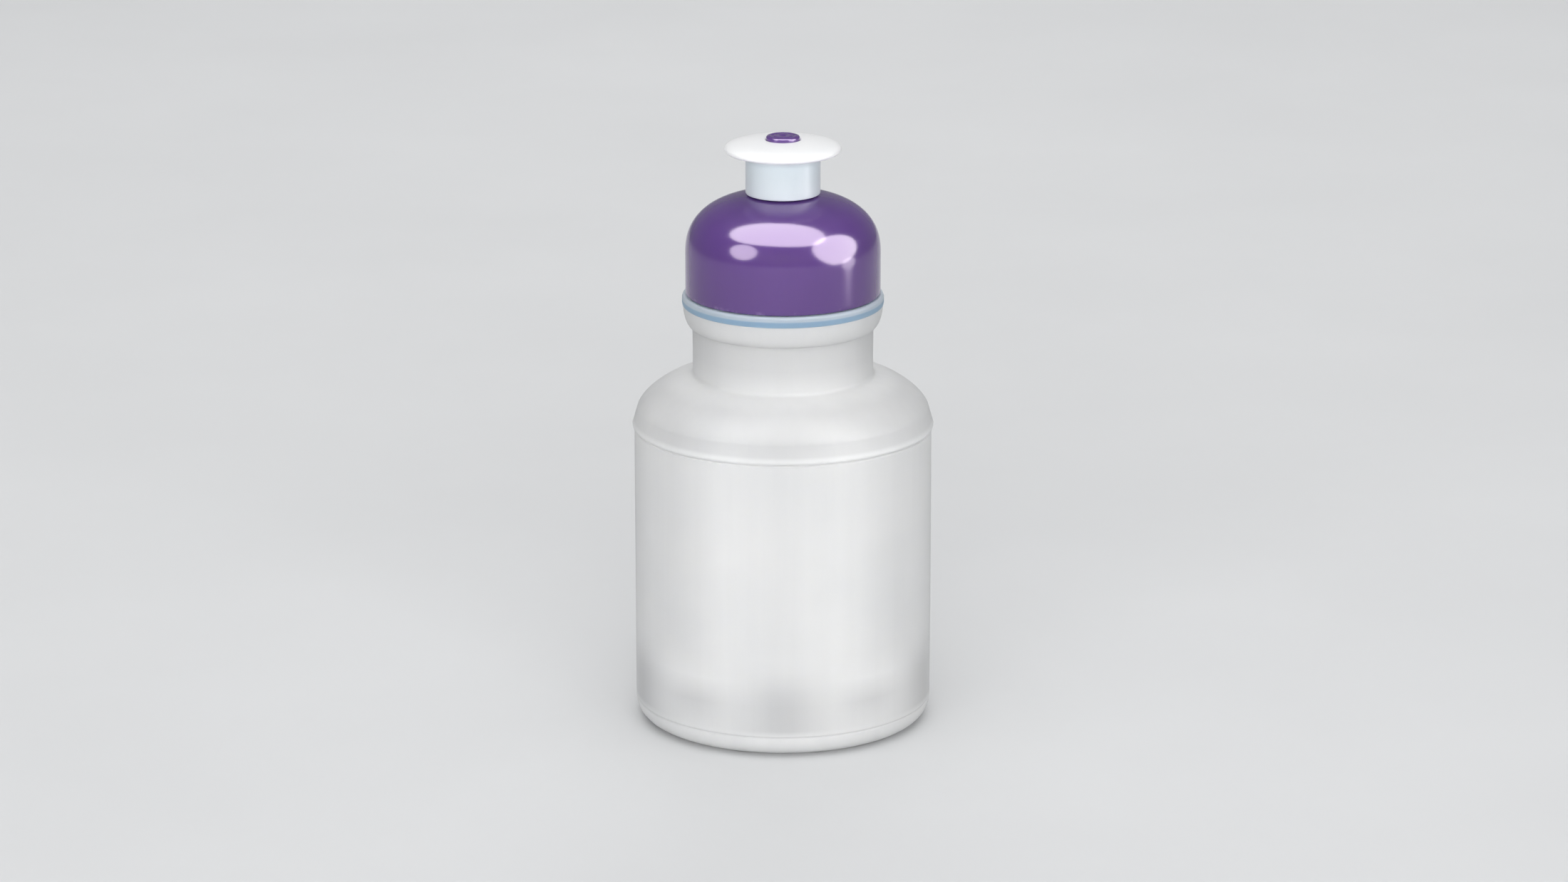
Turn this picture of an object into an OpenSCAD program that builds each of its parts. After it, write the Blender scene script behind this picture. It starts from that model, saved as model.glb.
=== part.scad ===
// Kids' squeeze bottle with a screw cap and a push-pull drinking spout.
// Units are millimetres. +Z is up, the bottle stands on z = 0, and its axis is the Z axis.
// The spout is modelled pushed down (shut), and the cap screwed fully on.

/* [Body] */
// Diameter of the straight panel
panel_d = 72; // [66:0.2:76]
// How far the ridge above the panel stands proud of it
ridge_proud = 0.5; // [0.3:0.1:1]
// Height of the ridge above the ground
ridge_z = 74.2; // [60:0.2:90]
// Wall thickness of the blown body
wall = 1.2; // [0.8:0.1:1.6]
// Width of the rounded heel
heel_w = 7; // [5:0.5:10]
// Height of the rounded heel
heel_h = 6; // [5:0.2:10]
// Height of the pushed-up floor above the ground
push_up = 6; // [3:0.5:9]

/* [Shoulder, neck and collar] */
// Height of the shoulder from the ridge to the foot of the neck
shoulder_h = 12.3; // [8:0.1:18]
// Diameter of the neck
neck_d = 43.5; // [42.6:0.1:44.3]
// Height of the neck from its foot to the collar
neck_h = 12; // [6:0.1:16]
// Diameter of the collar
collar_d = 48.6; // [47.2:0.2:50]
// Height of the collar
collar_h = 8.1; // [7:0.1:12]

/* [Screw finish] */
// Diameter of the mouth's wall under the thread
finish_d = 41.2; // [40.8:0.1:41.4]
// Height of the finish above the collar
finish_h = 11; // [10.8:0.1:12]
// Rise of the thread for one turn
lead = 4.2; // [4:0.1:4.6]
// Length of each thread, in turns
thread_turns = 1.3; // [1:0.1:1.4]

/* [Cap] */
// Outer diameter of the cap
cap_d = 47.1; // [46.6:0.1:48]
// Rise of the dome above the straight skirt
dome_h = 15; // [13.5:0.1:17]

/* [Spout] */
// Outer diameter of the spout's tube
tube_d = 18; // [17.6:0.2:20]
// Outer diameter of the flange that teeth or fingers pull
flange_d = 28.1; // [24:0.1:32]
// Diameter of the drinking hole
hole_d = 8.24; // [7:0.02:8.6]
// How far the spout slides up to open
spout_travel = 5; // [4:0.1:5.4]

/* [Hidden] */
$fn = 72;

// Body, from the ground up
panel_r = panel_d / 2;
ridge_r = panel_r + ridge_proud;
foot_out_r = panel_r - heel_w;
foot_in_r = foot_out_r - 2.2;
heel_power = 2.6;
// The ridge's section, as [inset from its crest, height from its middle]
ridge_section = [[0.1, -0.5], [0, -0.2], [0, 0.3], [0.2, 0.7]];
ridge_fade = 1.5;
shoulder_r = ridge_r - 1.1;
shoulder_z = ridge_z + 3.7;
shoulder_power = 1.5;
neck_r = neck_d / 2;
neck_wall = 1.35;
neck_foot_z = ridge_z + shoulder_h;
collar_r = collar_d / 2;
collar_z = neck_foot_z + neck_h;
collar_top_z = collar_z + collar_h;
collar_band_h = 2.6;
collar_step = 0.22;
collar_in_r = collar_r - wall - 0.5;
collar_in_slope = 1;
ledge_round = 0.7;

// Screw finish. The threads of the bottle and the cap lie half a lead apart.
finish_r = finish_d / 2;
finish_wall = 1.4;
mouth_r = finish_r - finish_wall;
rim_z = collar_top_z + finish_h;
rim_round = 0.4;
thread_depth = 1.15;
thread_root_w = 2.7;
thread_crest_w = 1.5;
thread_bite = 0.5;
thread_gap = 0.35;
thread_z = collar_top_z + 3.6;
thread_steps = 36;
run_out_steps = 4;
// Each end of a thread starts this share of its depth under the wall
run_out_dip = 0.15;

// Cap
cap_r = cap_d / 2;
cap_in_r = finish_r + thread_depth + thread_gap;
cap_edge = 0.3;
skirt_z = collar_top_z + 0.2;
dome_z = rim_z - 1.2;
dome_in_r = cap_in_r - 0.1;
dome_in_h = dome_h - 1.5;
dome_power = 2.5;
washer_h = 1.2;
washer_edge = 0.15;
washer_in_r = mouth_r - 0.8;
washer_out_r = cap_in_r - 0.4;
seat_z = rim_z + washer_h;
seat_in_r = mouth_r - 0.2;
seat_out_r = finish_r + 0.2;
seat_root = 0.5;

// Spout and the post it slides on
tube_r = tube_d / 2;
tube_in_r = tube_r - 1.25;
snap_h = 1.2;
snap_in_r = tube_in_r - 0.5;
slide_gap = 0.15;
post_r = snap_in_r - slide_gap;
post_wall = 1.2;
post_in_r = post_r - post_wall;
post_lip_r = tube_in_r - slide_gap;
post_lip_h = 1.4;
post_lip_edge = 0.5;
tube_z = dome_z + dome_h - 0.1;
post_lip_z = tube_z + snap_h + spout_travel + 0.2;
post_top_z = post_lip_z + post_lip_h;
ceiling_z = post_top_z + 0.4;
hole_r = hole_d / 2;
pin_gap = 0.07;
pin_r = hole_r - pin_gap;
pin_neck_r = 2.4;
pin_edge = 0.6;
pin_root = 0.5;
spout_edge = 0.25;
flange_fillet = 0.4;
flange_r = flange_d / 2;
flange_z = tube_z + 9.85;
flange_lip_h = 1.05;
flange_lip_w = 1.9;
flange_dome_h = 2.4;
flange_power = 2.2;
flange_mid_z = flange_z + flange_lip_h;
hole_land_z = flange_mid_z + 0.2;
pin_top_z = flange_mid_z + flange_dome_h + 0.9;
rib_w = 1.4;
rib_count = 3;

// Signed power, for the superellipse that every rounded stretch is cut from
function spow(x, power) = sign(x) * pow(abs(x), power);

// Points of an elliptical stretch about [cx, cz]; power 2 is a true ellipse
function stretch(cx, cz, rx, rz, from, to, power = 2, steps = 10) = [
    for (i = [0 : steps])
        let (a = from + (to - from) * i / steps)
        [cx + rx * spow(cos(a), 2 / power), cz + rz * spow(sin(a), 2 / power)]
];

function reversed(points) = [for (i = [len(points) - 1 : -1 : 0]) points[i]];

// Height of the dome's inside at a distance from the axis
function dome_under(r) = dome_z + dome_in_h * pow(1 - pow(r / dome_in_r, dome_power), 1 / dome_power);

// Angle at which a superellipse of half-width full has come in to a distance r from the axis
function angle_at(r, full, power) = acos(pow(r / full, power / 2));

// Floor of the bottle: a crown that falls to the standing ring
function floor_points(edge_r, lift) = [
    for (i = [0 : 8])
        let (t = i / 8)
        [edge_r * t, lift + push_up * (cos(180 * t) + 1) / 2]
];

function bottle_outside() = concat(
    floor_points(foot_in_r, 0),
    stretch(foot_out_r, heel_h, heel_w, heel_h, -90, 0, heel_power, 12),
    [
        [panel_r, ridge_z - ridge_fade],
        for (p = ridge_section) [ridge_r - p[0], ridge_z + p[1]]
    ],
    stretch(neck_r, shoulder_z, shoulder_r - neck_r, neck_foot_z - shoulder_z, 0, 90, shoulder_power, 14),
    stretch(neck_r, collar_top_z - collar_band_h, collar_r - collar_step - neck_r,
        collar_h - collar_band_h, -90, 0, 2, 10),
    [[collar_r, collar_top_z - collar_band_h + 0.1]],
    stretch(collar_r - ledge_round, collar_top_z - ledge_round, ledge_round, ledge_round, 0, 90, 2, 4),
    [[finish_r, collar_top_z]],
    stretch(finish_r - rim_round, rim_z - rim_round, rim_round, rim_round, 0, 90, 2, 4)
);

function bottle_inside() = concat(
    floor_points(foot_in_r + 0.6, wall),
    stretch(foot_out_r, heel_h, heel_w - wall, heel_h - wall, -80, 0, heel_power, 11),
    [[panel_r - wall, ridge_z]],
    stretch(neck_r - neck_wall, shoulder_z, shoulder_r - wall - neck_r + neck_wall,
        neck_foot_z - wall - shoulder_z, 0, 90, shoulder_power, 14),
    stretch(neck_r - neck_wall, collar_top_z - collar_band_h, collar_in_r - neck_r + neck_wall,
        collar_h - collar_band_h, -90, 0, 2, 8),
    [
        [collar_in_r, collar_top_z - wall - 0.6 * collar_in_slope],
        [mouth_r, collar_top_z - wall + 0.4 * collar_in_slope],
        [mouth_r, rim_z - rim_round],
        [mouth_r + rim_round / 2, rim_z]
    ]
);

// One helical thread on a wall of radius root_r: side is 1 where it stands out, -1 where it stands in
module thread(root_r, side, start_z, start_angle) {
    steps = ceil(thread_turns * thread_steps);
    function rise(i) = min(1, i / run_out_steps, (steps - i) / run_out_steps);
    function height(i) = thread_depth * ((1 + run_out_dip) * rise(i) - run_out_dip);
    function width(h) = thread_root_w + (thread_crest_w - thread_root_w) * h / thread_depth;
    function corner(i, h, edge) =
        let (a = start_angle + 360 * i / thread_steps, r = root_r + side * h)
        [r * cos(a), r * sin(a), start_z + lead * i / thread_steps + edge * side * width(h) / 2];
    function section(i) = [
        corner(i, -thread_bite, -1),
        corner(i, height(i), -1),
        corner(i, height(i), 1),
        corner(i, -thread_bite, 1)
    ];
    polyhedron(
        points = [for (i = [0 : steps]) each section(i)],
        faces = concat(
            [[3, 2, 1, 0]],
            [for (i = [0 : steps - 1], k = [0 : 3]) [4 * i + k, 4 * i + 4 + (k + 1) % 4, 4 * i + 4 + k]],
            [for (i = [0 : steps - 1], k = [0 : 3]) [4 * i + k, 4 * i + (k + 1) % 4, 4 * i + 4 + (k + 1) % 4]],
            [[for (k = [0 : 3]) 4 * steps + k]]
        )
    );
}

// Blown translucent bottle: push-up floor, heel, panel, ridge, shoulder, neck, collar and screw finish
module bottle() {
    color([0.88, 0.89, 0.9, 0.6]) {
        rotate_extrude() polygon(concat(bottle_outside(), reversed(bottle_inside())));
        thread(finish_r, 1, thread_z, 0);
    }
}

// Outline of the cap's moulding: skirt, dome and the hollow post on top
function cap_outside() = concat(
    [
        [cap_in_r + cap_edge, skirt_z],
        [cap_r - cap_edge, skirt_z],
        [cap_r, skirt_z + cap_edge]
    ],
    stretch(0, dome_z, cap_r, dome_h, 0, angle_at(post_r, cap_r, dome_power), dome_power, 20),
    [
        [post_r, post_lip_z],
        [post_lip_r, post_lip_z + cap_edge],
        [post_lip_r, post_top_z - post_lip_edge],
        [post_lip_r - post_lip_edge, post_top_z]
    ]
);

function cap_inside() = concat(
    [
        [post_in_r, post_top_z],
        [post_in_r, dome_under(post_in_r)]
    ],
    reversed(stretch(0, dome_z, dome_in_r, dome_in_h, 0,
        angle_at(post_in_r + 0.5, dome_in_r, dome_power), dome_power, 16)),
    [
        [cap_in_r, dome_z],
        [cap_in_r, skirt_z + cap_edge]
    ]
);

// Plug on the axis of the post. Its head fills the drinking hole while the spout is down.
module pin() {
    rotate_extrude() polygon(concat(
        [
            [0, tube_z - 2 * pin_root],
            [pin_neck_r, tube_z - 2 * pin_root],
            [pin_neck_r, hole_land_z - 2.6],
            [pin_r, hole_land_z - 0.8]
        ],
        stretch(pin_r - pin_edge, pin_top_z - pin_edge, pin_edge, 0.7 * pin_edge, 0, 90, 2, 5),
        [[0, pin_top_z]]
    ));
}

// Spokes that hold the pin in the post and leave the drink a way past it
module pin_ribs() {
    for (i = [0 : rib_count - 1])
        rotate(360 * i / rib_count + 90)
            translate([0, -rib_w / 2, tube_z - pin_root])
                cube([post_in_r + pin_root, rib_w, post_lip_z - tube_z - pin_root]);
}

// Ring inside the dome that presses the washer on the bottle's rim
module washer_seat() {
    rotate_extrude() polygon([
        [seat_in_r, seat_z],
        [seat_out_r, seat_z],
        [seat_out_r, dome_under(seat_out_r) + seat_root],
        [seat_in_r, dome_under(seat_in_r) + seat_root]
    ]);
}

// Screw cap with its dome, post, pin, ribs, washer seat and thread in one moulding
module cap() {
    color([0.42, 0.32, 0.55]) {
        rotate_extrude() polygon(concat(cap_outside(), cap_inside()));
        washer_seat();
        pin();
        pin_ribs();
        thread(cap_in_r, -1, thread_z - lead / 4, 90);
    }
}

// Soft flat ring between the cap and the rim
module sealing_washer() {
    color([0.93, 0.93, 0.92])
        rotate_extrude() polygon([
            [washer_in_r, rim_z],
            [washer_out_r - washer_edge, rim_z],
            [washer_out_r, rim_z + washer_edge],
            [washer_out_r, seat_z - washer_edge],
            [washer_out_r - washer_edge, seat_z],
            [washer_in_r, seat_z]
        ]);
}

// Push-pull spout: a tube that slides on the post, with a domed flange round the drinking hole
module pull_spout() {
    color([0.95, 0.96, 0.97])
        rotate_extrude() polygon(concat(
            [
                [snap_in_r + spout_edge, tube_z],
                [tube_r - spout_edge, tube_z],
                [tube_r, tube_z + spout_edge],
                [tube_r, flange_z - flange_fillet],
                [tube_r + flange_fillet, flange_z]
            ],
            stretch(flange_r - flange_lip_w, flange_mid_z, flange_lip_w, flange_lip_h, -90, 0, flange_power, 7),
            stretch(0, flange_mid_z, flange_r, flange_dome_h, 6,
                angle_at(hole_r + 0.3, flange_r, flange_power), flange_power, 14),
            [
                [hole_r, flange_mid_z + flange_dome_h - 0.35],
                [hole_r, hole_land_z],
                [hole_r + 1, hole_land_z],
                [tube_in_r, ceiling_z],
                [tube_in_r, tube_z + snap_h + 0.3],
                [snap_in_r, tube_z + snap_h],
                [snap_in_r, tube_z + spout_edge]
            ]
        ));
}

bottle();
cap();
sealing_washer();
pull_spout();
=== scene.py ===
"""Looks of a kids' squeeze bottle: blown translucent body, purple screw cap, white push-pull spout."""

import math

import bmesh
import bpy
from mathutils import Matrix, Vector, noise


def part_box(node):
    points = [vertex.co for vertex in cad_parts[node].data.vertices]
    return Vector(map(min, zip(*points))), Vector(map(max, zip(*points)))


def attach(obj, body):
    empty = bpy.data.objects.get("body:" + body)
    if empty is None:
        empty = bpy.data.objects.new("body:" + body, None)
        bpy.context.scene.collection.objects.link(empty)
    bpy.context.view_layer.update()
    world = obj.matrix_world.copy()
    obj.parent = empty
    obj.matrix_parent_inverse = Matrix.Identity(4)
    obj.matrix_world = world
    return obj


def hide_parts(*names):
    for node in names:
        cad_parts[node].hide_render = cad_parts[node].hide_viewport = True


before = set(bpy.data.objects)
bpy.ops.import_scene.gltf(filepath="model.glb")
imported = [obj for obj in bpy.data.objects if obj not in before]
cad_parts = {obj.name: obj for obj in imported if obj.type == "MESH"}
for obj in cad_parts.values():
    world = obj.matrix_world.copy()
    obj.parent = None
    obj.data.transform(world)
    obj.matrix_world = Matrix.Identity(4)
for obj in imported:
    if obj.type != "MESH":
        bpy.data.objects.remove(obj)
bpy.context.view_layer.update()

# ---------------------------------------------------------------- sizes, in millimetres
MM = 0.001


def node_size(node):
    """Outer radius, lowest and highest z of a CAD node, in millimetres."""
    low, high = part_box(node)
    return (high.x - low.x) / 2 / MM, low.z / MM, high.z / MM


RIDGE_R, GROUND_Z, RIM_Z = node_size("bottle")
CAP_R, SKIRT_Z, PIN_TOP_Z = node_size("cap")
WASHER_R, WASHER_Z, SEAT_Z = node_size("sealing_washer")
FLANGE_R, TUBE_Z, SPOUT_TOP_Z = node_size("pull_spout")

# Body
PANEL_R = RIDGE_R - 0.5
WALL = 1.2
HEEL_W, HEEL_H, HEEL_POWER = 7.0, 6.0, 2.6
HEEL_LINE_Z, HEEL_LINE_W, HEEL_LINE_DEPTH = 5.4, 0.6, 0.12
FOOT_OUT_R = PANEL_R - HEEL_W
FOOT_IN_R = FOOT_OUT_R - 2.2
PUSH_UP = 6.0
RIDGE_Z = 74.2
# Groove under the ridge, as (inset from the panel, height from the ridge's middle), and the ridge
# itself, as (inset from its crest, height from its middle)
RIDGE_GROOVE = [(0, -1.15), (0.15, -1.0), (0.28, -0.8), (0.15, -0.6)]
RIDGE_SECTION = [(0.12, -0.42), (0.02, -0.2), (0, 0), (0.04, 0.25), (0.18, 0.6), (0.4, 1.3), (0.7, 2.4)]
SHOULDER_R, SHOULDER_Z, SHOULDER_POWER = RIDGE_R - 1.1, RIDGE_Z + 3.7, 1.5
NECK_R, NECK_WALL, NECK_FOOT_Z, NECK_FILLET = 21.75, 1.35, 86.5, 1.3
COLLAR_R, COLLAR_Z, COLLAR_TOP_Z = 24.3, 98.5, SKIRT_Z - 0.2
COLLAR_BAND_H, COLLAR_STEP, LEDGE_ROUND = 2.6, 0.22, 0.7
COLLAR_BAND_Z = COLLAR_TOP_Z - COLLAR_BAND_H
COLLAR_IN_R = COLLAR_R - WALL - 0.5
SEAM_H, SEAM_W = 0.07, 0.7
WELD_DEPTH, WELD_W = 0.35, 1.8

# Screw finish and the threads
FINISH_R, FINISH_WALL, RIM_ROUND = 20.6, 1.4, 0.4
MOUTH_R = FINISH_R - FINISH_WALL
THREAD_LEAD, THREAD_TURNS, THREAD_DEPTH = 4.2, 1.3, 1.15
THREAD_ROOT_W, THREAD_CREST_W = 2.7, 1.5
THREAD_Z = COLLAR_TOP_Z + 3.6
THREAD_RUN_OUT = 0.11
THREAD_MESH_STEP = 0.22

# Cap
CAP_IN_R = FINISH_R + THREAD_DEPTH + 0.35
CAP_EDGE = 0.35
DOME_Z, DOME_H, DOME_POWER = RIM_Z - 1.2, 15.0, 2.5
DOME_IN_R, DOME_IN_H = CAP_IN_R - 0.1, DOME_H - 1.5
SEAT_IN_R, SEAT_OUT_R = MOUTH_R - 0.2, FINISH_R + 0.2
POST_R, POST_IN_R = 7.1, 5.9
POST_LIP_R, POST_LIP_Z, POST_TOP_Z = 7.6, TUBE_Z + 6.4, TUBE_Z + 7.8
PIN_R, PIN_NECK_R, PIN_EDGE, PIN_RINGS = 4.05, 2.4, 0.6, 19
RIB_W, RIB_COUNT = 1.4, 3

# Spout
TUBE_R, TUBE_IN_R, SNAP_IN_R, SNAP_H = 9.0, 7.75, 7.25, 1.2
TUBE_EDGE, FLANGE_FILLET = 0.3, 0.5
HOLE_R = 4.12
FLANGE_MID_Z, FLANGE_Z = TUBE_Z + 10.9, TUBE_Z + 9.85
FLANGE_LIP_W, FLANGE_LIP_H = 1.9, 1.05
FLANGE_DOME_H, FLANGE_POWER = 2.4, 2.2
HOLE_LAND_Z = FLANGE_MID_Z + 0.2
CEILING_Z = POST_TOP_Z + 0.4


# ---------------------------------------------------------------- outlines
def stretch(cx, cz, rx, rz, start, end, power=2.0, steps=12):
    """Points of a superelliptical stretch about (cx, cz), angles in degrees."""
    points = []
    for i in range(steps + 1):
        a = math.radians(start + (end - start) * i / steps)
        c, s = math.cos(a), math.sin(a)
        r = cx + rx * math.copysign(abs(c) ** (2 / power), c)
        z = cz + rz * math.copysign(abs(s) ** (2 / power), s)
        points.append((r, z))
    return points


def between(a, b, step):
    """Points from a to b, no more than step apart, without the last one."""
    count = max(1, math.ceil(math.dist(a, b) / step))
    return [(a[0] + (b[0] - a[0]) * i / count, a[1] + (b[1] - a[1]) * i / count) for i in range(count)]


def soften(points, radius, turn=14.0, steps=4):
    """Rounds each corner that turns by more than `turn` degrees with a small arc."""
    out = [points[0]]
    for before, here, after in zip(points, points[1:], points[2:]):
        a, b = Vector(before) - Vector(here), Vector(after) - Vector(here)
        if min(a.length, b.length) < 1e-6 or math.degrees(a.angle(-b)) < turn:
            out.append(here)
            continue
        reach = min(radius, 0.45 * a.length, 0.45 * b.length)
        p, q = Vector(here) + a.normalized() * reach, Vector(here) + b.normalized() * reach
        for i in range(steps + 1):
            t = i / steps
            point = (1 - t) ** 2 * p + 2 * t * (1 - t) * Vector(here) + t ** 2 * q
            out.append(tuple(point))
    out.append(points[-1])
    return out


def floor_points(edge_r, lift, steps=14):
    """Crown of the pushed-up floor, from the axis out to the standing ring."""
    points = []
    for i in range(steps + 1):
        t = i / steps
        points.append((edge_r * t, lift + PUSH_UP * (math.cos(math.pi * t) + 1) / 2))
    return points


# ---------------------------------------------------------------- meshes
SEAM_OFFSETS = (-0.9, -0.55, -0.3, 0.3, 0.55, 0.9)


def even_angles(count, seams=()):
    """Angles round the axis, with a few more close to each seam so that a thin line has a shape."""
    angles = {round(2 * math.pi * i / count, 6) for i in range(count)}
    for seam in seams:
        for offset in SEAM_OFFSETS:
            angles.add(round((seam + math.radians(offset)) % (2 * math.pi), 6))
    return sorted(angles)


def lathe(name, outline, angles, shape=None, closed=False):
    """Turns an outline of (r, z) points in millimetres about the axis.

    shape(angle, r, z) may move a point. A closed outline joins its last point to its first.
    """
    verts, rings = [], []
    for r, z in outline:
        if r < 1e-6:
            _, z0 = shape(0.0, 0.0, z) if shape else (r, z)
            rings.append([len(verts)])
            verts.append((0.0, 0.0, z0 * MM))
            continue
        ring = []
        for a in angles:
            ra, za = shape(a, r, z) if shape else (r, z)
            ring.append(len(verts))
            verts.append((ra * math.cos(a) * MM, ra * math.sin(a) * MM, za * MM))
        rings.append(ring)
    faces = []
    pairs = list(zip(rings, rings[1:]))
    if closed:
        pairs.append((rings[-1], rings[0]))
    n = len(angles)
    for low, high in pairs:
        for i in range(n):
            j = (i + 1) % n
            if len(low) == 1 and len(high) == 1:
                continue
            if len(low) == 1:
                faces.append((low[0], high[j], high[i]))
            elif len(high) == 1:
                faces.append((low[i], low[j], high[0]))
            else:
                faces.append((low[i], low[j], high[j], high[i]))
    mesh = bpy.data.meshes.new(name)
    mesh.from_pydata(verts, [], faces)
    return finish_mesh(name, mesh)


def finish_mesh(name, mesh):
    """Makes the faces look outwards, shades them smooth and links the object."""
    bm = bmesh.new()
    bm.from_mesh(mesh)
    bmesh.ops.recalc_face_normals(bm, faces=bm.faces)
    bm.to_mesh(mesh)
    bm.free()
    mesh.polygons.foreach_set("use_smooth", [True] * len(mesh.polygons))
    mesh.update()
    obj = bpy.data.objects.new(name, mesh)
    bpy.context.scene.collection.objects.link(obj)
    return obj


def join_solid(obj, tool):
    """Unites obj with tool as one closed solid, and removes tool."""
    union = obj.modifiers.new("unite", "BOOLEAN")
    union.operation, union.solver, union.object = "UNION", "EXACT", tool
    bpy.context.view_layer.update()
    depsgraph = bpy.context.evaluated_depsgraph_get()
    mesh = bpy.data.meshes.new_from_object(obj.evaluated_get(depsgraph))
    obj.modifiers.clear()
    obj.data = mesh
    bpy.data.objects.remove(tool)
    return obj


def smooth_step(t):
    t = min(1.0, max(0.0, t))
    return t * t * (3 - 2 * t)


def thread_height(angle, z, start_z, start_angle):
    """Height of a helical thread above its wall, at an angle round the axis and a z in millimetres."""
    best = 0.0
    for k in range(-1, 3):
        turn = (angle - start_angle) / (2 * math.pi) + k
        if not 0 <= turn <= THREAD_TURNS:
            continue
        off = abs(z - start_z - THREAD_LEAD * turn)
        flank = (THREAD_ROOT_W / 2 - off) / ((THREAD_ROOT_W - THREAD_CREST_W) / 2)
        ends = min(turn, THREAD_TURNS - turn) / THREAD_RUN_OUT
        best = max(best, THREAD_DEPTH * smooth_step(flank) * smooth_step(ends))
    return best


# ---------------------------------------------------------------- bottle
def bottle_outline():
    """The whole wall of the bottle, up the outside and back down the inside, from axis to axis."""
    outside = floor_points(FOOT_IN_R, GROUND_Z)
    outside += stretch(FOOT_OUT_R, HEEL_H, HEEL_W, HEEL_H, -90, -8, HEEL_POWER, 22)
    outside += stretch(FOOT_OUT_R, HEEL_H, HEEL_W, HEEL_H, -8, 0, HEEL_POWER, 14)[1:]
    outside += between((PANEL_R, HEEL_H + 1), (PANEL_R, RIDGE_Z - 1.3), 3.0)
    outside += [(PANEL_R - inset, RIDGE_Z + rise) for inset, rise in RIDGE_GROOVE]
    outside += [(RIDGE_R - inset, RIDGE_Z + rise) for inset, rise in RIDGE_SECTION]
    outside += stretch(
        NECK_R, SHOULDER_Z, SHOULDER_R - NECK_R, NECK_FOOT_Z - SHOULDER_Z, 0, 80, SHOULDER_POWER, 24)
    outside += stretch(NECK_R + NECK_FILLET, NECK_FOOT_Z + 1.0, -NECK_FILLET, -1.1, 65, 0, 2, 8)
    outside += [(NECK_R, (NECK_FOOT_Z + COLLAR_Z) / 2)]
    outside += stretch(
        NECK_R, COLLAR_BAND_Z, COLLAR_R - COLLAR_STEP - NECK_R, COLLAR_BAND_Z - COLLAR_Z, -88, 0, 2, 16)
    outside += [(COLLAR_R, COLLAR_BAND_Z + 0.12)]
    outside += stretch(
        COLLAR_R - LEDGE_ROUND, COLLAR_TOP_Z - LEDGE_ROUND, LEDGE_ROUND, LEDGE_ROUND, 0, 90, 2, 6)
    wall = between((FINISH_R, COLLAR_TOP_Z), (FINISH_R, RIM_Z - RIM_ROUND), THREAD_MESH_STEP)
    outside = soften(outside + wall[:1], 0.7) + wall[1:]
    outside += stretch(FINISH_R - RIM_ROUND, RIM_Z - RIM_ROUND, RIM_ROUND, RIM_ROUND, 0, 90, 2, 5)
    inside = [(MOUTH_R + 0.2, RIM_Z), (MOUTH_R, RIM_Z - 0.2), (MOUTH_R, COLLAR_TOP_Z - WALL + 0.4)]
    inside += [(COLLAR_IN_R, COLLAR_TOP_Z - WALL - 0.6)]
    neck_in = NECK_R - NECK_WALL
    inside += stretch(
        neck_in, COLLAR_BAND_Z, COLLAR_IN_R - neck_in, COLLAR_BAND_Z - COLLAR_Z, 0, -90, 2, 10)
    inside += stretch(
        neck_in, SHOULDER_Z, SHOULDER_R - WALL - neck_in, NECK_FOOT_Z - WALL - SHOULDER_Z, 90, 0,
        SHOULDER_POWER, 20)
    inside += between((PANEL_R - WALL, RIDGE_Z), (PANEL_R - WALL, HEEL_H + 1), 6.0)
    inside += stretch(FOOT_OUT_R, HEEL_H, HEEL_W - WALL, HEEL_H - WALL, 0, -84, HEEL_POWER, 16)
    inside += floor_points(FOOT_IN_R + 0.6, WALL)[::-1]
    return outside + soften(inside, 0.6)


def bottle_shape(angle, r, z):
    """Thread, heel line, slight waves of the wall, pinch-off weld under the floor, and mould seams."""
    if z > COLLAR_TOP_Z and r > FINISH_R - 0.5:
        return r + thread_height(angle, z, THREAD_Z, 0.0), z
    if r > PANEL_R - 0.5 * WALL:
        r -= HEEL_LINE_DEPTH * smooth_step(1 - abs(z - HEEL_LINE_Z) / (HEEL_LINE_W / 2))
    wave_top = RIDGE_Z - 2
    if HEEL_H < z < wave_top:
        fade = smooth_step((z - HEEL_H) / 12) * smooth_step((wave_top - z) / 12)
        r += fade * (0.05 * math.sin(2 * angle + 0.7) + 0.03 * math.sin(5 * angle + z / 19))
    if r < FOOT_IN_R - 1 and z <= floor_height(r) + 0.5 * WALL:
        y = r * math.sin(angle)
        z -= WELD_DEPTH * smooth_step(1 - abs(y) / (WELD_W / 2)) * smooth_step((FOOT_IN_R - 3 - r) / 3)
    if r > NECK_R - 0.5 and z > 0.5:
        off = min(abs(angle), abs(angle - math.pi), abs(angle - 2 * math.pi)) * r
        r += SEAM_H * smooth_step(1 - off / (SEAM_W / 2))
    return r, z


def floor_height(r):
    """Height of the underside of the pushed-up floor."""
    return PUSH_UP * (math.cos(math.pi * min(1.0, r / FOOT_IN_R)) + 1) / 2


def painted_heel_shade(turn, z):
    """Painted shade round the heel: five tall and five short dark lobes, a low dark band, a painted lighter
    belt above, and a painted dark line in the heel line.
    """
    tall, short = math.cos(2.5 * turn) ** 2, math.sin(2.5 * turn) ** 2
    shade = 0.19 * tall ** 2.5 * smooth_step((25 - z) / 11)
    shade += 0.13 * short ** 4 * smooth_step((18 - z) / 4) * smooth_step((z - 8) / 4)
    shade += 0.04 * smooth_step((19 - z) / 7)
    shade -= 0.05 * (1 - tall) * smooth_step(1 - abs(z - 19) / 6)
    shade *= smooth_step((z - HEEL_LINE_Z) / 1.5)
    return shade + 0.14 * smooth_step(1 - abs(z - HEEL_LINE_Z) / 0.45)


def painted_panel_bands(turn, z):
    """Faint painted bands of light and shade up the panel and the shoulder, eight round the bottle."""
    shoulder_top = NECK_FOOT_Z - 3
    return 0.035 * math.cos(8 * turn) * smooth_step((z - 16) / 14) * smooth_step((shoulder_top - z) / 4)


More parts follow.
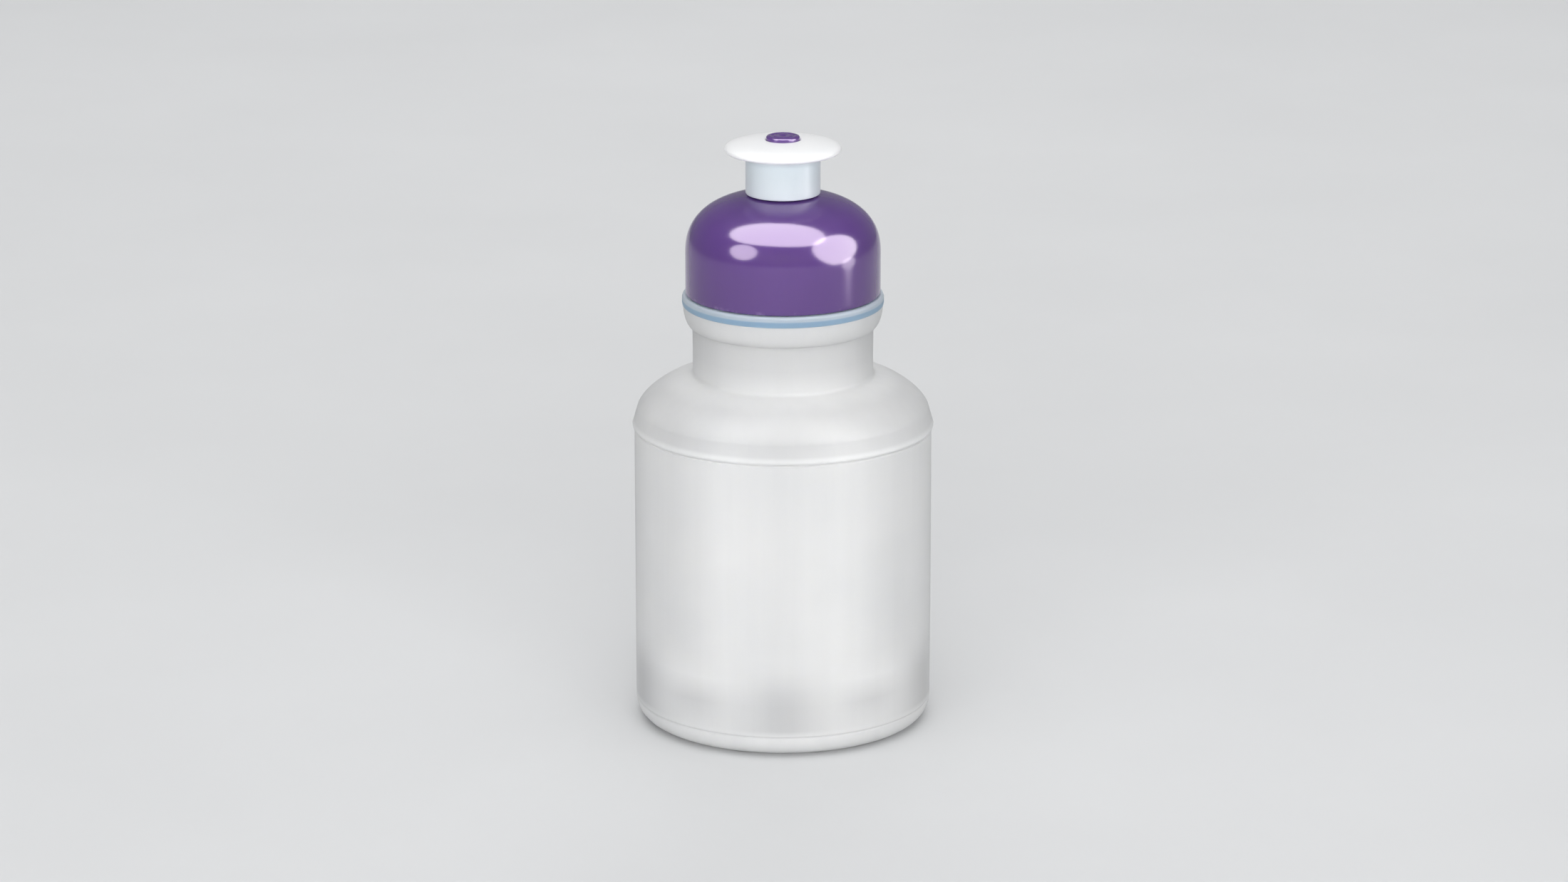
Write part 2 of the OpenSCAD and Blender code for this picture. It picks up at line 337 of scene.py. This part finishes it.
def painted_neck_shade(z):
    """Painted shade on the shoulder, neck and collar, darker than the panel and a little less on the
    collar, and a painted highlight along the foot of the neck.
    """
    shade = 0.15 * smooth_step((z - RIDGE_Z - 0.3) / 1.2) - 0.05 * smooth_step((z - COLLAR_Z) / 2)
    return shade - 0.16 * smooth_step(1 - abs(z - NECK_FOOT_Z) / 3)


def painted_wall_shading(angle, z):
    """Painted shade and light on the wall, as a factor near 1, at an angle round the axis and a height in
    millimetres.
    """
    turn = angle + math.pi / 2
    return 1 - painted_heel_shade(turn, z) - painted_panel_bands(turn, z) - painted_neck_shade(z)


def store_painted_shading(obj, painted_shading):
    """Stores the painted shade and light, a function of angle and z, at each point of the mesh, for its
    material.
    """
    layer = obj.data.attributes.new("painted_wall_shading", "FLOAT", "POINT")
    for vertex, value in zip(obj.data.vertices, layer.data):
        x, y, z = vertex.co / MM
        value.value = painted_shading(math.atan2(y, x), z)


def make_bottle():
    bottle = lathe("bottle_body", bottle_outline(), even_angles(180, (0.0, math.pi)), bottle_shape)
    # Painted shade and light for the wall, stored on the mesh for its material.
    store_painted_shading(bottle, painted_wall_shading)
    return place(bottle, "bottle", "bottle", frosted_plastic())


# ---------------------------------------------------------------- cap
def dome_under(r):
    return DOME_Z + DOME_IN_H * (1 - (r / DOME_IN_R) ** DOME_POWER) ** (1 / DOME_POWER)


def angle_at(r, full, power):
    """Angle at which a superellipse of half-width full has come in to a distance r from the axis."""
    return math.degrees(math.acos((r / full) ** (power / 2)))


def dome_arc(from_r, to_r, steps):
    """Points along the underside of the dome."""
    start, end = (angle_at(r, DOME_IN_R, DOME_POWER) for r in (from_r, to_r))
    return stretch(0, DOME_Z, DOME_IN_R, DOME_IN_H, start, end, DOME_POWER, steps)


def cap_outline():
    """The cap's moulding without its pin: a closed outline round the section of the wall."""
    outside = [(CAP_IN_R + 0.45, SKIRT_Z), (CAP_R - CAP_EDGE, SKIRT_Z)]
    outside += stretch(CAP_R - CAP_EDGE, SKIRT_Z + CAP_EDGE, CAP_EDGE, CAP_EDGE, -90, 0, 2, 5)[1:]
    outside += between((CAP_R, SKIRT_Z + 1.2), (CAP_R, DOME_Z), 2.5)
    outside += stretch(0, DOME_Z, CAP_R, DOME_H, 0, angle_at(POST_R, CAP_R, DOME_POWER), DOME_POWER, 60)
    outside += [
        (POST_R, POST_LIP_Z),
        (POST_LIP_R, POST_LIP_Z + 0.3),
        (POST_LIP_R, POST_TOP_Z - 0.5),
        (POST_LIP_R - 0.5, POST_TOP_Z),
        (POST_IN_R, POST_TOP_Z),
        (POST_IN_R, dome_under(POST_IN_R)),
    ]
    outside += dome_arc(POST_IN_R, SEAT_IN_R, 18)[1:]
    outside += [(SEAT_IN_R, SEAT_Z), (SEAT_OUT_R, SEAT_Z)]
    outside += dome_arc(SEAT_OUT_R, DOME_IN_R * 0.9985, 10)
    outside += [(CAP_IN_R, DOME_Z - 0.6)]
    outside = soften(outside, 0.3)
    inner_wall = between((CAP_IN_R, DOME_Z - 0.8), (CAP_IN_R, SKIRT_Z + 0.5), THREAD_MESH_STEP)
    return outside[:-1] + inner_wall + [(CAP_IN_R + 0.15, SKIRT_Z + 0.15)]


def cap_shape(angle, r, z):
    """The thread inside the skirt."""
    if abs(r - CAP_IN_R) < 0.01 and z < DOME_Z - 0.5:
        return r - thread_height(angle, z, THREAD_Z - THREAD_LEAD / 4, math.pi / 2), z
    return r, z


def pin_outline():
    """The plug on the axis, with its rounded head, whose rings are close enough for pin_shape."""
    stem = soften([
        (0, TUBE_Z - 1),
        (PIN_NECK_R, TUBE_Z - 1),
        (PIN_NECK_R, HOLE_LAND_Z - 2.6),
        (PIN_R, HOLE_LAND_Z - 0.8),
    ], 0.4)
    edge = stretch(PIN_R - PIN_EDGE, PIN_TOP_Z - PIN_EDGE, PIN_EDGE, 0.5, 0, 84, 2, 6)
    head = [(PIN_R * (PIN_RINGS - i) / (PIN_RINGS + 4), PIN_TOP_Z - 0.05) for i in range(PIN_RINGS)]
    return stem + edge + head + [(0, PIN_TOP_Z - 0.05)]


def pin_shape(angle, r, z):
    """The dimple that the moulding gate leaves on the head of the pin, and a shallow ring round it."""
    if z < PIN_TOP_Z - 0.2:
        return r, z
    dimple = 0.3 * smooth_step(1 - r / 1.3)
    ring = 0.16 * smooth_step(1 - abs(r - 2.5) / 0.5)
    ripple = 0.05 * noise.noise(Vector((r * math.cos(angle), r * math.sin(angle), 3.0)))
    return r, z - dimple - ring + ripple * smooth_step((PIN_R - 0.5 - r) / 0.6)


def make_rib(angle):
    """One spoke from the pin to the wall of the post, as a bevelled bar."""
    bm = bmesh.new()
    bmesh.ops.create_cube(bm, size=1.0)
    length, height = POST_IN_R + 0.5, POST_LIP_Z - TUBE_Z - 0.5
    for v in bm.verts:
        x = (v.co.x + 0.5) * length
        y, z = v.co.y * RIB_W, TUBE_Z - 0.5 + (v.co.z + 0.5) * height
        c, s = math.cos(angle), math.sin(angle)
        v.co = Vector((x * c - y * s, x * s + y * c, z)) * MM
    bmesh.ops.bevel(bm, geom=bm.edges[:], offset=0.2 * MM, segments=2, affect="EDGES", profile=0.5)
    mesh = bpy.data.meshes.new("rib")
    bm.to_mesh(mesh)
    bm.free()
    return finish_mesh("rib", mesh)


def make_cap():
    cap = lathe("cap_dome", cap_outline(), even_angles(180), cap_shape, closed=True)
    core = lathe("pin", pin_outline(), even_angles(64), pin_shape)
    for i in range(RIB_COUNT):
        core = join_solid(core, make_rib(math.radians(360 * i / RIB_COUNT + 90)))
    join_solid(cap, core)
    return place(cap, "cap", "cap", gloss_plastic())


# ---------------------------------------------------------------- washer and spout
def make_washer():
    inner = MOUTH_R - 0.8
    outline = soften([
        ((inner + WASHER_R) / 2, WASHER_Z),
        (WASHER_R, WASHER_Z),
        (WASHER_R, SEAT_Z),
        (inner, SEAT_Z),
        (inner, WASHER_Z),
        ((inner + WASHER_R) / 2 - 0.1, WASHER_Z),
    ], 0.25)
    washer = lathe("washer_ring", outline, even_angles(144), closed=True)
    return place(washer, "sealing_washer", "washer", soft_seal())


def spout_outline():
    """Tube, flange, drinking hole and bore, as a closed outline round the section of the wall."""
    outline = [(SNAP_IN_R + 0.3, TUBE_Z), (TUBE_R - TUBE_EDGE, TUBE_Z)]
    outline += stretch(TUBE_R - TUBE_EDGE, TUBE_Z + TUBE_EDGE, TUBE_EDGE, TUBE_EDGE, -90, 0, 2, 5)[1:]
    outline += between((TUBE_R, TUBE_Z + 1), (TUBE_R, FLANGE_Z - FLANGE_FILLET), 2.0)
    outline += stretch(
        TUBE_R + FLANGE_FILLET, FLANGE_Z - FLANGE_FILLET, -FLANGE_FILLET, FLANGE_FILLET, 0, 90, 2, 5)
    outline += stretch(
        FLANGE_R - FLANGE_LIP_W, FLANGE_MID_Z, FLANGE_LIP_W, FLANGE_LIP_H, -90, 0, FLANGE_POWER, 14)
    edge = angle_at(HOLE_R + 0.35, FLANGE_R, FLANGE_POWER)
    outline += stretch(0, FLANGE_MID_Z, FLANGE_R, FLANGE_DOME_H, 4, edge, FLANGE_POWER, 36)
    outline += [
        (HOLE_R + 0.1, SPOUT_TOP_Z - 0.12),
        (HOLE_R, SPOUT_TOP_Z - 0.4),
        (HOLE_R, HOLE_LAND_Z),
        (HOLE_R + 1, HOLE_LAND_Z),
        (TUBE_IN_R, CEILING_Z),
        (TUBE_IN_R, TUBE_Z + SNAP_H + 0.3),
        (SNAP_IN_R, TUBE_Z + SNAP_H),
        (SNAP_IN_R, TUBE_Z + 0.25),
    ]
    return soften(outline, 0.2)


def make_spout():
    spout = lathe("spout_sleeve", spout_outline(), even_angles(144), closed=True)
    return place(spout, "pull_spout", "spout", satin_plastic())


def place(obj, node, body, material):
    """Gives a piece its material, body and slot, and lets it stand for its CAD node."""
    obj.data.materials.clear()
    obj.data.materials.append(material)
    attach(obj, body)
    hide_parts(node)
    return obj


# ---------------------------------------------------------------- materials
class Nodes:
    """A material's node tree with short calls for the nodes used here. Positions are object coordinates."""

    def __init__(self, name):
        self.material = bpy.data.materials.new(name)
        self.material.use_nodes = True
        self.tree = self.material.node_tree
        self.shader = self.tree.nodes["Principled BSDF"]
        self.position = self.add("ShaderNodeTexCoord").outputs["Object"]

    def add(self, kind, **settings):
        node = self.tree.nodes.new(kind)
        for key, value in settings.items():
            setattr(node, key, value)
        return node

    def link(self, a, b):
        self.tree.links.new(a, b)

    def noise(self, scale, detail=3.0, stretch_by=(1, 1, 1)):
        """Noise of about 1 / scale metres, stretched along an axis where stretch_by is small."""
        mapping = self.add("ShaderNodeMapping")
        mapping.inputs["Scale"].default_value = stretch_by
        self.link(self.position, mapping.inputs["Vector"])
        texture = self.add("ShaderNodeTexNoise")
        texture.inputs["Scale"].default_value = scale
        texture.inputs["Detail"].default_value = detail
        self.link(mapping.outputs["Vector"], texture.inputs["Vector"])
        return texture.outputs["Fac"]

    def ramp(self, factor, stops):
        """Colours or greys at places from 0 to 1."""
        node = self.add("ShaderNodeValToRGB")
        elements = node.color_ramp.elements
        while len(elements) < len(stops):
            elements.new(0.5)
        for element, (place_at, colour) in zip(elements, stops):
            element.position = place_at
            grey = isinstance(colour, (int, float))
            element.color = (colour, colour, colour, 1) if grey else (*colour, 1)
        self.link(factor, node.inputs["Fac"])
        return node.outputs["Color"]

    def height_ramp(self, low, high, stops):
        """A ramp along z, with its stops given in millimetres above the ground."""
        separate = self.add("ShaderNodeSeparateXYZ")
        self.link(self.position, separate.inputs["Vector"])
        span = self.add("ShaderNodeMapRange")
        span.inputs["From Min"].default_value = low * MM
        span.inputs["From Max"].default_value = high * MM
        self.link(separate.outputs["Z"], span.inputs["Value"])
        return self.ramp(span.outputs["Result"], [((z - low) / (high - low), c) for z, c in stops])

    def mix(self, blend, factor, a, b):
        node = self.add("ShaderNodeMix", data_type="RGBA", blend_type=blend)
        for socket, value in ((node.inputs[0], factor), (node.inputs[6], a), (node.inputs[7], b)):
            if isinstance(value, bpy.types.NodeSocket):
                self.link(value, socket)
            elif isinstance(value, tuple):
                socket.default_value = (*value, 1)
            else:
                socket.default_value = value
        return node.outputs[2]

    def grey_range(self, factor, low, high):
        node = self.add("ShaderNodeMapRange")
        node.inputs["To Min"].default_value = low
        node.inputs["To Max"].default_value = high
        self.link(factor, node.inputs["Value"])
        return node.outputs["Result"]

    def bump(self, height, distance, strength, under=None):
        node = self.add("ShaderNodeBump")
        node.inputs["Distance"].default_value = distance * MM
        node.inputs["Strength"].default_value = strength
        self.link(height, node.inputs["Height"])
        if under is not None:
            self.link(under, node.inputs["Normal"])
        return node.outputs["Normal"]

    def set(self, **values):
        """Sets or links the shader's sockets; an underscore stands for a space."""
        for key, value in values.items():
            socket = self.shader.inputs[key.replace("_", " ")]
            if isinstance(value, bpy.types.NodeSocket):
                self.link(value, socket)
            else:
                socket.default_value = value
        return self.material


def frosted_plastic():
    """Blown polyethylene: milky, faintly streaked along z, with a blue tint round the collar and painted
    shade and light stored on the mesh.
    """
    n = Nodes("frosted polyethylene")
    cloud = n.noise(38.0, 2.0)
    streaks = n.noise(260.0, 3.0, (1, 1, 0.03))
    colour = n.ramp(cloud, [(0.3, (0.80, 0.805, 0.81)), (0.7, (0.845, 0.845, 0.845))])
    colour = n.mix("MULTIPLY", 0.1, colour, n.ramp(streaks, [(0.35, 0.8), (0.65, 1.0)]))
    # Painted shade and light from the mesh: dark lobes and a band round the heel, bands up the panel, a
    # darker shoulder and neck.
    painted_shading = n.add("ShaderNodeAttribute", attribute_name="painted_wall_shading").outputs["Fac"]
    colour = n.mix("MULTIPLY", 1.0, colour, painted_shading)
    band = n.height_ramp(COLLAR_BAND_Z - 0.4, COLLAR_TOP_Z + 0.6, [
        (COLLAR_BAND_Z - 0.1, 0.0),
        (COLLAR_BAND_Z + 0.1, 1.0),
        (COLLAR_BAND_Z + 1.2, 1.0),
        (COLLAR_BAND_Z + 1.5, 0.5),
        (COLLAR_TOP_Z + 0.05, 0.5),
        (COLLAR_TOP_Z + 0.5, 0.0),
    ])
    colour = n.mix("MIX", band, colour, (0.30, 0.44, 0.58))
    grain = n.noise(2600.0, 2.0)
    normal = n.bump(streaks, 0.05, 0.35)
    normal = n.bump(grain, 0.02, 0.25, normal)
    return n.set(
        Base_Color=colour, Roughness=n.grey_range(cloud, 0.42, 0.5), Normal=normal, IOR=1.5,
        Subsurface_Weight=1.0, Subsurface_Radius=(1.0, 1.0, 1.05), Subsurface_Scale=0.0022,
        Transmission_Weight=0.3, Specular_IOR_Level=0.1)


def gloss_plastic():
    """Glossy purple polypropylene: flow marks, a soft orange-peel surface and a worn lower edge."""
    n = Nodes("glossy purple polypropylene")
    flow = n.noise(60.0, 4.0, (1, 1, 0.35))
    peel = n.noise(900.0, 2.0)
    scuffs = n.noise(420.0, 6.0)
    colour = n.ramp(flow, [(0.3, (0.094, 0.042, 0.2)), (0.7, (0.108, 0.05, 0.225))])
    # The cap is painted darker towards the bottom of its skirt.
    lower_darkening = n.height_ramp(SKIRT_Z, TUBE_Z, [(SKIRT_Z, 0.8), (DOME_Z + 11, 1.0)])
    colour = n.mix("MULTIPLY", 1.0, colour, lower_darkening)
    edge = n.height_ramp(SKIRT_Z, SKIRT_Z + 4, [(SKIRT_Z, 1.0), (SKIRT_Z + 1.0, 0.0)])
    worn = n.mix("MULTIPLY", 1.0, edge, n.ramp(scuffs, [(0.55, 0.0), (0.75, 1.0)]))
    colour = n.mix("MIX", worn, colour, (0.24, 0.17, 0.36))
    normal = n.bump(flow, 0.12, 0.12)
    normal = n.bump(peel, 0.012, 0.12, normal)
    return n.set(
        Base_Color=colour, Roughness=n.grey_range(scuffs, 0.11, 0.17), Normal=normal, IOR=1.7,
        Specular_Tint=(1.0, 0.86, 1.0, 1), Subsurface_Weight=0.05, Subsurface_Scale=0.001)


def satin_plastic():
    """Satin white polyethylene with a fine matt grain. The thin tube is tinted cooler than the thick flange
    and painted darker, most in a painted shadow just under the flange.
    """
    n = Nodes("satin white polyethylene")
    cloud = n.noise(70.0, 3.0)
    grain = n.noise(1800.0, 3.0)
    colour = n.ramp(cloud, [(0.3, (0.87, 0.875, 0.88)), (0.7, (0.90, 0.90, 0.90))])
    # Cooler tint of the thin tube, and painted shade on it, darkest in a painted shadow just under the
    # flange.
    tube_tint_and_shade = n.height_ramp(TUBE_Z, FLANGE_MID_Z, [
        (TUBE_Z, (0.73, 0.79, 0.81)),
        (FLANGE_Z - 1.5, (0.67, 0.745, 0.775)),
        (FLANGE_Z + 0.4, (1, 1, 1)),
    ])
    colour = n.mix("MULTIPLY", 1.0, colour, tube_tint_and_shade)
    normal = n.bump(cloud, 0.15, 0.08)
    normal = n.bump(grain, 0.015, 0.2, normal)
    return n.set(
        Base_Color=colour, Roughness=n.grey_range(grain, 0.26, 0.36), Normal=normal, IOR=1.5,
        Subsurface_Weight=0.3, Subsurface_Radius=(1.0, 1.0, 1.0), Subsurface_Scale=0.0012)


def soft_seal():
    """Soft foam-faced seal with fine closed cells."""
    n = Nodes("soft foam seal")
    cells = n.add("ShaderNodeTexVoronoi")
    cells.inputs["Scale"].default_value = 2400.0
    n.link(n.position, cells.inputs["Vector"])
    colour = n.ramp(n.noise(300.0, 3.0), [(0.3, (0.80, 0.80, 0.77)), (0.7, (0.86, 0.86, 0.84))])
    normal = n.bump(cells.outputs["Distance"], 0.06, 0.5)
    return n.set(Base_Color=colour, Roughness=0.75, Normal=normal)


def studio_paper():
    """Pale matt studio paper."""
    n = Nodes("studio paper")
    colour = n.ramp(n.noise(9.0, 4.0), [(0.3, (0.66, 0.665, 0.67)), (0.7, (0.68, 0.685, 0.69))])
    return n.set(Base_Color=colour, Roughness=0.9, Specular_IOR_Level=0.0)


# ---------------------------------------------------------------- stage, light and camera
def make_floor():
    """A pale round floor that curves up into a wall on every side, well outside the lights."""
    flat_r, bend, height = 2600.0, 900.0, 3400.0
    section = [(0.0, 0.0), (500.0, 0.0), (1500.0, 0.0)]
    section += stretch(flat_r, bend, bend, bend, -90, 0)
    section += [(flat_r + bend, height)]
    floor = lathe("studio_floor", section, even_angles(96))
    floor.data.materials.append(studio_paper())


def softbox(name, azimuth, elevation, distance, size, radiance, gloss_only=False, spread=None):
    """An area light that faces the cap. Azimuth 0 is the front and 90 the right; sizes are in metres.

    It is an oval that only gloss shows, or an oblong that only lights the matt surfaces. A spread in
    degrees narrows the beam, as a grid does, and the power is cut to keep the same radiance.
    """
    aim = Vector((0, 0, (SKIRT_Z + RIM_Z) / 2 * MM))
    az, el = math.radians(azimuth), math.radians(elevation)
    way = Vector((math.sin(az) * math.cos(el), -math.cos(az) * math.cos(el), math.sin(el)))
    light = bpy.data.lights.new(name, "AREA")
    light.shape = "ELLIPSE" if gloss_only else "RECTANGLE"
    light.size, light.size_y = size
    area = size[0] * size[1] * (math.pi / 4 if gloss_only else 1)
    light.energy = radiance * math.pi * area
    if spread:
        half = math.radians(spread / 2)
        light.spread = 2 * half
        light.energy *= 1 - half / math.tan(half)
    lamp = bpy.data.objects.new(name, light)
    lamp.location = aim + way * distance
    lamp.rotation_euler = way.to_track_quat("Z", "Y").to_euler()
    lamp.visible_camera = False
    lamp.visible_glossy = gloss_only
    lamp.visible_diffuse = not gloss_only
    lamp.visible_transmission = not gloss_only
    bpy.context.scene.collection.objects.link(lamp)
    return lamp


def make_lights():
    """Ovals for the highlights on the cap, above and at each side, and oblongs for the matt surfaces."""
    softbox("overhead", -14, 73.5, 1.06, (2.1, 1.2), 8.2, gloss_only=True)
    softbox("right_box", 70, 22, 1.0, (1.15, 1.1), 8.5, gloss_only=True)
    softbox("right_tail", 81, -6.5, 0.45, (0.16, 0.104), 4.3, gloss_only=True)
    softbox("left_box", -50, 22, 1.0, (0.6, 0.6), 6.6, gloss_only=True)
    softbox("ceiling", 0, 88, 1.6, (2.4, 2.4), 1.3)
    for side, azimuth in (("left", -14), ("right", 14)):
        softbox(f"{side}_key", azimuth, 15, 2.1, (1.7, 0.9), 5.15, spread=110)
    softbox("back_key", 180, 20, 1.5, (1.4, 1.0), 2.3, spread=110)
    world = bpy.data.worlds.new("studio")
    world.use_nodes = True
    background = world.node_tree.nodes["Background"]
    background.inputs["Color"].default_value = (0.88, 0.90, 0.93, 1)
    background.inputs["Strength"].default_value = 0.28
    bpy.context.scene.world = world


def make_camera():
    """In front and a little above, with a long lens, aimed near the middle of the bottle."""
    distance, height, aim = 1.24, 0.4267, Vector((0.00025, 0, 0.0693))
    camera = bpy.data.cameras.new("camera")
    camera.sensor_width = 36.0
    camera.lens = 121.85
    camera.clip_end = 20.0
    holder = bpy.data.objects.new("camera", camera)
    holder.location = (0.0, -distance, height)
    way = aim - holder.location
    holder.rotation_euler = way.to_track_quat("-Z", "Y").to_euler()
    bpy.context.scene.collection.objects.link(holder)
    bpy.context.scene.camera = holder


bpy.context.scene.view_settings.view_transform = "Standard"
make_camera()
make_lights()
make_floor()
make_bottle()
make_cap()
make_washer()
make_spout()
